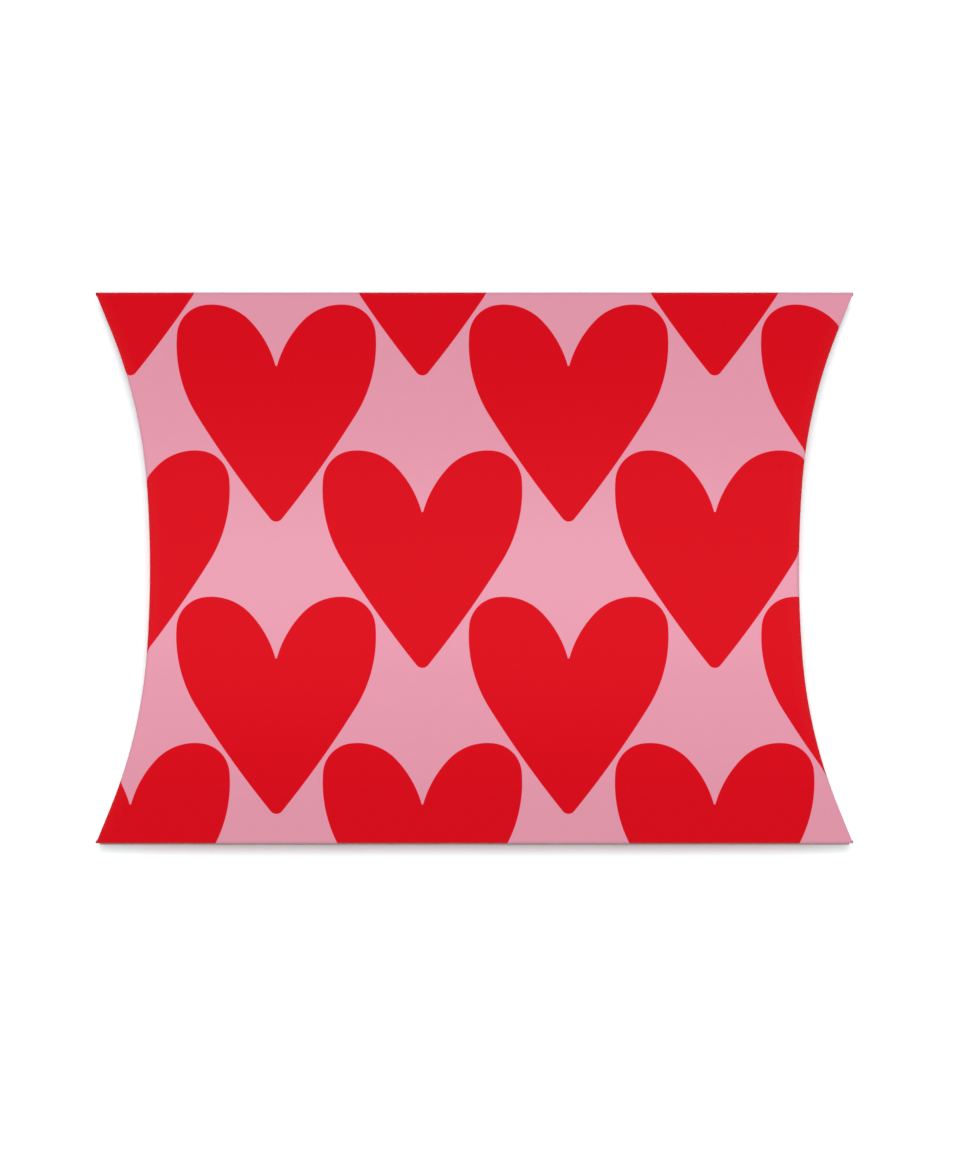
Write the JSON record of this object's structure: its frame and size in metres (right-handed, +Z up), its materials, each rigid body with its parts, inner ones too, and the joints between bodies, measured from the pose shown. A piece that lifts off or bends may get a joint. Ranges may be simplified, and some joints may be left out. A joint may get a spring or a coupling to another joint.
{
  "type": "pillow box",
  "caption": "Folded card pillow gift box: bowed front and back panels, curved-scored end flaps that close over each other and a glued long seam, printed with hearts.",
  "frame": {"origin": "under the centre of the box, on the surface that it lies on", "axes": "+X along the box from one closed end to the other, +Y across it towards the plain folded edge, +Z up through the front panel"},
  "size_m": [0.14, 0.102, 0.0217],
  "materials": {
    "printed_card": "satin print, red hearts on pink, white core",
    "bare_card": "uncoated",
    "glue": "dry adhesive"
  },
  "bodies": {
    "sleeve": {"front_panel": "printed_card", "back_panel": "printed_card", "side_fold": "printed_card", "seam_fold": "printed_card", "glue_flap": "bare_card", "glue_film": "glue", "left_outer_score": "printed_card", "right_outer_score": "printed_card", "left_inner_score": "printed_card", "right_inner_score": "printed_card"},
    "left_outer_flap": {"left_outer_flap": "printed_card"},
    "right_outer_flap": {"right_outer_flap": "printed_card"},
    "left_inner_flap": {"left_inner_flap": "printed_card"},
    "right_inner_flap": {"right_inner_flap": "printed_card"}
  },
  "joints": [
    {"name": "left_outer_fold", "type": "hinge", "parent": "sleeve", "child": "left_outer_flap", "pos_m": [-0.05985, 0, 0.0217], "axis": [0, 1, 0], "range_deg": [0, 135]},
    {"name": "left_inner_fold", "type": "hinge", "parent": "sleeve", "child": "left_inner_flap", "pos_m": [-0.05915, 0, 0], "axis": [0, -1, 0], "range_deg": [0, 90]},
    {"name": "right_outer_fold", "type": "hinge", "parent": "sleeve", "child": "right_outer_flap", "pos_m": [0.05985, 0, 0.0217], "axis": [0, -1, 0], "range_deg": [0, 135]},
    {"name": "right_inner_fold", "type": "hinge", "parent": "sleeve", "child": "right_inner_flap", "pos_m": [0.05915, 0, 0], "axis": [0, 1, 0], "range_deg": [0, 90]}
  ],
  "couplings": [
    {"joint": "left_inner_fold", "follows": "left_outer_fold", "ratio": 0.6666},
    {"joint": "right_inner_fold", "follows": "right_outer_fold", "ratio": 0.6666}
  ]
}
